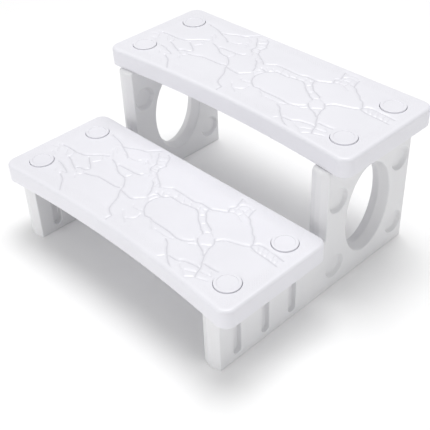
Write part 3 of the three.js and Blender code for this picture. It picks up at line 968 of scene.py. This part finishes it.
@dataclass
class SidePanel:
    """One hollow L-shaped panel: low under the lower tread and high under the upper one."""

    side: Side
    rest_gap: float = 0.3
    nose_flat: float = 14.0
    nose_depth: float = 7.0
    nose_round: float = 1.8
    nose_blend: float = 1.6
    top_round: float = 5.5
    foot_round: float = 2.5
    top_corner: float = 9.0
    foot_corner: float = 3.0
    inner_corner: float = 4.0
    step_y: float = 12.0
    fixing_reach: float = 87.0
    boss_radius: float = 18.0
    boss_height: float = 12.0
    boss_square: float = 19.0
    pilot_radius: float = 3.35
    pilot_depth: float = 22.0
    vent_radius: float = 4.0
    vent_depth: float = 6.0
    vent_square: float = 6.0
    oval_margins: tuple[float, float] = (75.0, 47.5)
    oval_ridge: float = 9.0
    oval_ridge_half: float = 1.5
    dimple_side: float = 43.0
    dimple_top: float = 88.0
    dimple_bottom: float = 61.5
    dimple_radii: tuple[float, float] = (31.5, 25.0)
    dimple_depth: float = 9.5
    slot_spacing: float = 87.0
    slot_width: float = 24.0
    slot_depth: float = 12.0
    slot_low: float = 17.0
    slot_headroom: float = 9.0

    @property
    def node(self) -> str:
        """The panel's CAD node."""
        return f"{self.side.value}_side_panel"

    def build(self, finishes: Finishes) -> None:
        """Builds the panel and fits it to its node."""
        box = NodeBox.of(self.node)
        lower, upper = (NodeBox.of(f"{level.value}_tread") for level in Level)
        self.half = box.size[0] / 2
        self.ends = box.low[1], box.high[1]
        self.low_top, self.high_top = lower.low[2] - self.rest_gap, upper.low[2] - self.rest_gap
        self.undersides = lower.low[2], upper.low[2]
        self.tread_ys = lower.middle[1], upper.middle[1]
        self.boss_ys = [y + way * self.fixing_reach for y in self.tread_ys for way in (-1, 1)]
        self.shell = Shell()
        first, last = self.wrap()
        oval = self.oval()
        for loop, oval_loop, face in ((first, oval[0], -1.0), (last, oval[1], 1.0)):
            holes = [self.dimple(y, z, face) for y in self.dimple_ys() for z in self.dimple_zs()]
            slots = [self.slot(self.tread_ys[0] + k * self.slot_spacing, face) for k in (-1, 0, 1)]
            self.shell.fill([loop, oval_loop, *holes, *slots], 1, 2)
        self.shell.move(np.array([box.middle[0], 0.0, 0.0]))
        fit(self.shell, self.node, Slot.PANEL, finishes)

    def dimple_ys(self) -> tuple[float, float]:
        """The y of the two columns of dimples, a set distance in from the post's edges."""
        return self.step_y + self.dimple_side, self.ends[1] - self.dimple_side

    def dimple_zs(self) -> tuple[float, float]:
        """The heights of the two rows of dimples."""
        return self.dimple_bottom, self.undersides[1] - self.dimple_top

    def stations(self) -> tuple[Array, Array, Array, Array]:
        """The places across the panel, and how far its three kinds of edge stand back at each.

        With d the depth in from the nearer face, an upright edge stands back along the nose's slope,
        nose_depth × (1 − d / slope length), rounded where it meets the face and the nose's flat. The
        top and bottom edges are quarter rounds.

        Returns:
            The x of each station, and the set-backs of upright, top and bottom edges.
        """
        slope = self.half - self.nose_flat / 2
        depth = np.array([0.0, 0.0, 0.12, 0.45, 1.0, 1.8, 2.8, 4.0, 6.0, 8.5, 11.0, 13.5, 15.5,
                          17.0, 18.0, 19.0, 20.5, 22.5, 25.0])
        left, blend = slope - depth, self.nose_blend
        eased = np.where(left > blend, left, np.where(left < -blend, 0.0, (left + blend) ** 2 / (4 * blend)))
        upright = self.nose_depth * eased / slope + quarter_round(depth, self.nose_round)
        top, foot = quarter_round(depth, self.top_round), quarter_round(depth, self.foot_round)
        for edge in (upright, top, foot):
            edge[0] += HOLD
        x = self.half - depth
        mirrored = [np.concatenate([edge, edge[-2::-1]]) for edge in (upright, top, foot)]
        return np.concatenate([-x, x[-2::-1]]), *mirrored

    def wrap(self) -> tuple[Array, Array]:
        """The outline carried across the panel from face to face, with its bosses and its blow hole.

        Each corner C is a quadratic curve (1 − t)²A + 2t(1 − t)C + t²B, with A and B at its reach
        along its two edges, worked out at every station at once.

        Returns:
            The loops at the two faces.
        """
        x, upright, top, foot = self.stations()
        front, rear = self.ends
        corners = [
            (front + upright, foot, self.foot_corner), (rear - upright, foot, self.foot_corner),
            (rear - upright, self.high_top - top, self.top_corner),
            (self.step_y + upright, self.high_top - top, self.top_corner),
            (self.step_y + upright, self.low_top - top, self.inner_corner),
            (front + upright, self.low_top - top, self.top_corner),
        ]
        places = [np.stack([y, z], axis=-1) for y, z, _ in corners]
        reaches = [reach for _, _, reach in corners]
        vent = [self.vent_y() - self.vent_square, self.vent_y() + self.vent_square]
        marks = [vent, [], self.around(self.boss_ys[3:1:-1]), [], self.around(self.boss_ys[1::-1]), []]
        t = np.linspace(0.0, 1.0, 7)[:, None, None]
        share = np.linspace(0.0, 1.0, 10)[1:-1, None, None]
        ring: list[Array] = []
        for k, (corner, reach) in enumerate(zip(places, reaches)):
            following = (k + 1) % len(corners)
            back, on = heading(corner, places[k - 1]), heading(corner, places[following])
            curve = ((1 - t) ** 2 * (corner + back * reach) + 2 * t * (1 - t) * corner
                     + t**2 * (corner + on * reach))
            start, end = curve[-1], places[following] - on * reaches[following]
            if marks[k]:
                level = np.broadcast_to(start[:, 1], (len(marks[k]), len(x)))
                edge = np.stack([np.broadcast_to(np.array(marks[k])[:, None], level.shape), level], axis=-1)
            else:
                edge = (1 - share) * start + share * end
            ring += [curve, edge]
        outline = np.concatenate(ring)
        points = np.concatenate([np.broadcast_to(x, outline.shape[:2])[..., None], outline], axis=-1)
        grid = self.shell.add(points)
        closed = np.concatenate([grid, grid[:1]])
        keep = np.ones((closed.shape[0] - 1, closed.shape[1] - 1), bool)
        for y in self.boss_ys:
            level = self.low_top if y < self.step_y else self.high_top
            self.boss(closed, keep, points, x, y, level)
        self.vent(closed, keep, points, x)
        self.shell.weave(closed, keep)
        return grid[:, 0], grid[:, -1]

    def around(self, middles: list[float]) -> list[float]:
        """Marks along a top edge: even ones across the square round each boss, from back to front."""
        marks = [list(np.linspace(y + self.boss_square, y - self.boss_square, 9)) for y in middles]
        return [*marks[0], (marks[0][-1] + marks[1][0]) / 2, *marks[1]]

    def vent_y(self) -> float:
        """The y of the blow hole in the foot."""
        return self.tread_ys[0] - self.slot_spacing / 2

    def gap(self, closed: Array, keep: Array, points: Array, x: Array, middle: tuple[float, float],
            half: float) -> tuple[Array, Array]:
        """Opens a square gap in the outline's grid and gives its loop and the directions to it.

        Args:
            closed: The numbers of the outline's points, with its first row repeated at the end.
            keep: The quads that stay.
            points: The outline's points.
            x: The stations.
            middle: The y and z of the gap's middle.
            half: Half the gap's width.

        Returns:
            The loop's numbers, and unit directions in x and y from the middle.
        """
        centre_line = points[:, len(x) // 2]
        level = np.abs(centre_line[:, 2] - middle[1]) < 0.5
        rows = np.flatnonzero(level & (np.abs(centre_line[:, 1] - middle[0]) < half + 0.01)).tolist()
        columns = np.flatnonzero(np.abs(x) < half + 0.01).tolist()
        loop = self.shell.open_square(closed, keep, (rows[0], rows[-1]), (columns[0], columns[-1]))
        away = self.shell.at(loop)[:, :2] - (0.0, middle[0])
        return loop, away / np.linalg.norm(away, axis=1, keepdims=True)

    def boss(self, closed: Array, keep: Array, points: Array, x: Array, y: float, level: float) -> None:
        """One round boss on a top edge with its pilot hole, which goes up into the tread's socket."""
        loop, turn = self.gap(closed, keep, points, x, (y, level), self.boss_square)
        radius, top, bottom = self.boss_radius, level + self.boss_height, level - self.pilot_depth
        path = rounded_path(
            [(radius + 1.0, level), (radius, level), (radius, top), (self.pilot_radius, top),
             (self.pilot_radius, bottom), (0.0, bottom)], [0.5, 1.2, 0.6, 0.8], steps=3)
        last = self.shell.carry(loop, rings(turn, path[1:-1], np.array([0.0, y])))
        self.shell.close(last, np.array([0.0, y, bottom]))

    def vent(self, closed: Array, keep: Array, points: Array, x: Array) -> None:
        """The blow hole in the foot."""
        radius, depth = self.vent_radius, self.vent_depth
        loop, turn = self.gap(closed, keep, points, x, (self.vent_y(), 0.0), self.vent_square)
        path = rounded_path([(radius + 1.0, 0.0), (radius, 0.0), (radius, depth), (0.0, depth)],
                            [0.4, 0.6], steps=2)
        last = self.shell.carry(loop, rings(turn, path[1:-1], np.array([0.0, self.vent_y()])))
        self.shell.close(last, np.array([0.0, self.vent_y(), depth]))

    def pressed(self, outlines: Array, depths: Array, face: float) -> Array:
        """Adds loops of y and z points at depths below a face and joins them.

        Args:
            outlines: Points in the shape loops × points × 2.
            depths: The depth of each loop below the face.
            face: Which face, −1 or 1.

        Returns:
            The numbers of all the loops.
        """
        x = np.broadcast_to(((self.half - depths) * face)[:, None, None], (*outlines.shape[:2], 1))
        numbers = self.shell.add(np.concatenate([x, outlines], axis=2))
        self.shell.bridge(numbers)
        return numbers

    def dimple(self, y: float, z: float, face: float) -> Array:
        """One round dimple with a sloping wall and a flat floor; returns the loop of its mouth."""
        outer, inner = self.dimple_radii
        path = rounded_path([(outer + 4.0, 0.0), (outer, 0.0), (inner, self.dimple_depth),
                             (0.0, self.dimple_depth)], [1.6, 3.0], steps=5)[1:-1]
        numbers = self.pressed(np.array([y, z]) + path[:, 0, None, None] * circle(64), path[:, 1], face)
        self.shell.close(numbers[-1], np.array([(self.half - self.dimple_depth) * face, y, z]))
        return numbers[0]

    def slot(self, y: float, face: float) -> Array:
        """One upright slot with round ends; returns the loop of its mouth."""
        half = self.slot_width / 2
        low, high = self.slot_low + half, self.undersides[0] - self.slot_headroom - half
        around = circle(48)
        ends = np.stack([np.full(48, y), np.where(around[:, 1] >= 0, high, low)], axis=1)
        path = rounded_path([(half + 4.0, 0.0), (half, 0.0), (half - 2.0, self.slot_depth),
                             (0.0, self.slot_depth)], [2.0, 3.0], steps=4)[1:-1]
        numbers = self.pressed(ends + path[:, 0, None, None] * around, path[:, 1], face)
        self.shell.fill([numbers[-1]], 1, 2)
        return numbers[0]

    def oval(self) -> tuple[Array, Array]:
        """The oval opening, tapering from both faces to a ridge in the middle.

        Returns:
            The loops of its mouths in the two faces.
        """
        margin_y, margin_z = self.oval_margins
        middle = np.array([(self.step_y + self.ends[1]) / 2, self.undersides[1] / 2])
        size = np.array([(self.ends[1] - self.step_y) / 2 - margin_y, self.undersides[1] / 2 - margin_z])
        ridge, ridge_half = self.oval_ridge, self.oval_ridge_half
        path = rounded_path([(-5.0, -self.half), (0.0, -self.half), (ridge, -ridge_half), (ridge, ridge_half),
                             (0.0, self.half), (-5.0, self.half)], [3.0, 1.0, 1.0, 3.0], steps=4)[1:-1]
        outlines = middle + (size - path[:, 0, None, None]) * circle(160)
        numbers = self.pressed(outlines, self.half - path[:, 1], 1.0)
        return numbers[0], numbers[-1]


@dataclass
class Cap:
    """One round press-in cap: a rounded rim round a slightly sunken middle, and a skirt below."""

    node: str
    rim_round: float = 1.6
    skirt_wall: float = 2.4
    dish_radius: float = 22.5
    dish_slope: float = 0.9
    dish_depth: float = 1.0

    def build(self, finishes: Finishes) -> None:
        """Builds the cap and fits it to its node."""
        box = NodeBox.of(self.node)
        radius, top, bottom = box.size[0] / 2, box.high[2], box.low[2]
        inner, roof = radius - self.skirt_wall, top - self.skirt_wall
        dish = top - self.dish_depth
        path = rounded_path(
            [(0.0, roof), (inner, roof), (inner, bottom), (radius, bottom), (radius, top),
             (self.dish_radius + self.dish_slope, top), (self.dish_radius, dish), (0.0, dish)],
            [0.8, 0.4, 0.6, self.rim_round, 0.45, 0.45], steps=5)
        shell = Shell()
        numbers = shell.add(rings(circle(96), path[1:-1], box.middle[:2]))
        shell.bridge(numbers)
        shell.close(numbers[0], np.array([*box.middle[:2], roof]))
        shell.close(numbers[-1], np.array([*box.middle[:2], dish]))
        fit(shell, self.node, Slot.CAP, finishes)


@dataclass
class Screw:
    """One pan-head screw with a cross recess and a rolled thread."""

    node: str
    shank_radius: float = 3.0
    root_radius: float = 2.35
    pitch: float = 2.2
    head_height: float = 4.4
    dome_drop: float = 1.5
    recess_depth: float = 2.3
    arm_half: tuple[float, float] = (0.45, 0.95)
    arm_reach: tuple[float, float] = (1.2, 3.4)
    cone_height: float = 3.0
    sides: int = 32

    def build(self, finishes: Finishes) -> None:
        """Builds the screw and fits it to its node.

        The head's top is a dome less a cross recess, which is deepest at the middle and closes along
        four arms. The thread's radius goes from root to crest as a triangle wave of z / pitch − a / 2π,
        and the tip is a cone.
        """
        box = NodeBox.of(self.node)
        top, tip = box.high[2], box.low[2]
        seat = top - self.head_height
        head = box.size[0] / 2
        turn = circle(self.sides)
        share = np.linspace(0.04, 1.0, 12)[::-1, None]
        x, y = share * head * turn[:, 0], share * head * turn[:, 1]
        dome = top - self.dome_drop * share**3.0
        arm = np.minimum(np.abs(x), np.abs(y))
        recess = (1 - smooth_step(arm, *self.arm_half)) * (1 - smooth_step(share * head, *self.arm_reach))
        crown = np.stack([x, y, np.broadcast_to(dome, x.shape) - self.recess_depth * recess], axis=-1)
        turns = np.arange(self.sides) / self.sides
        z = np.arange(seat - 0.3, tip + self.cone_height, -0.36)[:, None]
        wave = np.abs(((z / self.pitch - turns) % 1.0) * 2 - 1)
        worn = smooth_step(seat - z, 1.0, 3.0)
        radius = self.shank_radius - (self.shank_radius - self.root_radius) * wave * worn
        height = np.broadcast_to(z, radius.shape)
        thread = np.stack([radius * turn[:, 0], radius * turn[:, 1], height], axis=-1)
        cone = np.stack([np.array([2.0, 1.2, 0.4]), tip + np.array([2.0, 1.1, 0.3])], axis=1)
        under = np.array([(head, top - 2.0), (head, seat + 0.3), (head - 0.3, seat),
                          (self.shank_radius, seat)])
        origin = np.array([*box.middle[:2], 0.0])
        shell = Shell()
        first = shell.add(crown[::-1] + origin)
        shell.bridge(first)
        last = shell.carry(first[-1], rings(turn, under, np.zeros(2)) + origin)
        last = shell.carry(last, thread + origin)
        last = shell.carry(last, rings(turn, cone, np.zeros(2)) + origin)
        shell.close(last, np.array([*box.middle[:2], tip]))
        shell.close(first[0], np.array([*box.middle[:2], top - self.recess_depth]))
        fit(shell, self.node, Slot.STEEL, finishes)


@dataclass
class Washer:
    """One plain washer with softened edges."""

    node: str
    hole_radius: float = 3.35
    edge: float = 0.25

    def build(self, finishes: Finishes) -> None:
        """Builds the washer and fits it to its node."""
        box = NodeBox.of(self.node)
        outer, low, high = box.size[0] / 2, box.low[2], box.high[2]
        inner, e = self.hole_radius, self.edge
        path = np.array([(inner, low + e), (inner + e, low), (outer - e, low), (outer, low + e),
                         (outer, high - e), (outer - e, high), (inner + e, high), (inner, high - e)])
        shell = Shell()
        numbers = shell.add(rings(circle(64), path, box.middle[:2]))
        shell.bridge(np.concatenate([numbers, numbers[:1]]))
        fit(shell, self.node, Slot.STEEL, finishes)


def aim(yaw: float, pitch: float, roll: float = 0.0) -> Matrix:
    """The turn that looks down by pitch and round by yaw from +Y, then rolls, in degrees."""
    return (Matrix.Rotation(math.radians(yaw), 4, "Z") @ Matrix.Rotation(math.radians(90 - pitch), 4, "X")
            @ Matrix.Rotation(math.radians(roll), 4, "Z"))


@dataclass(frozen=True)
class Softbox:
    """One square area light that faces the middle of the steps, in metres and watts."""

    name: str
    place: tuple[float, float, float]
    size: float
    power: float

    def build(self) -> None:
        """Makes the light."""
        light = bpy.data.lights.new(self.name, "AREA")
        light.shape = "SQUARE"
        light.size = self.size
        light.energy = self.power
        made = bpy.data.objects.new(self.name, light)
        bpy.context.scene.collection.objects.link(made)
        away = np.array(self.place) - (0.0, 0.0, 0.15)
        made.matrix_world = Matrix.Translation(self.place) @ aim(
            math.degrees(math.atan2(away[0], -away[1])),
            math.degrees(math.atan2(away[2], math.hypot(away[0], away[1]))))


SOFTBOXES = (
    Softbox("softbox_above", (-0.6, 0.9, 5.0), 2.8, 160.0),
    Softbox("softbox_front", (-0.5, -3.2, 0.8), 2.4, 36.0),
    Softbox("softbox_right", (3.0, 0.0, 1.2), 2.0, 13.0),
)


@dataclass
class Studio:
    """The pale floor, the soft light and the camera."""

    floor_half: float = 14.0
    world_strength: float = 0.42
    lens: float = 70.3
    camera_place: tuple[float, float, float] = (1.234, -1.131, 1.362)
    yaw: float = 47.26
    pitch: float = 38.01
    roll: float = -2.53

    def build(self) -> None:
        """Sets up the studio."""
        bpy.context.scene.view_settings.view_transform = "Standard"
        self.floor()
        self.world()
        for softbox in SOFTBOXES:
            softbox.build()
        self.camera()

    def floor(self) -> None:
        """A wide flat sheet of paper on the ground."""
        half = self.floor_half
        mesh = bpy.data.meshes.new("floor")
        corners = [(-half, -half, 0), (half, -half, 0), (half, half, 0), (-half, half, 0)]
        mesh.from_pydata(corners, [], [(0, 1, 2, 3)])
        mesh.materials.append(StudioPaper().make())
        floor = bpy.data.objects.new("floor", mesh)
        bpy.context.scene.collection.objects.link(floor)

    def world(self) -> None:
        """An even pale surround."""
        world = bpy.data.worlds.new("studio")
        world.use_nodes = True
        back = world.node_tree.nodes["Background"]
        back.inputs["Color"].default_value = (1.0, 1.0, 1.0, 1.0)
        back.inputs["Strength"].default_value = self.world_strength
        bpy.context.scene.world = world

    def camera(self) -> None:
        """The camera, above and to the right of the front."""
        lens = bpy.data.cameras.new("camera")
        lens.lens = self.lens
        lens.sensor_width = 36.0
        made = bpy.data.objects.new("camera", lens)
        bpy.context.scene.collection.objects.link(made)
        made.matrix_world = Matrix.Translation(self.camera_place) @ aim(self.yaw, self.pitch, self.roll)
        bpy.context.scene.camera = made


def main() -> None:
    """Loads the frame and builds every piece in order."""
    logging.basicConfig(level=logging.INFO, format="%(name)s: %(message)s")
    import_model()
    finishes = Finishes()
    for side in Side:
        SidePanel(side).build(finishes)
    for level in Level:
        Tread(level).build(finishes)
        for corner in Corner:
            stem = f"{level.value}_{corner.value}"
            Washer(f"{stem}_washer").build(finishes)
            Screw(f"{stem}_screw").build(finishes)
            Cap(f"{stem}_cap").build(finishes)
    Studio().build()
    LOG.info("all pieces built")


if __name__ == "__main__":
    main()
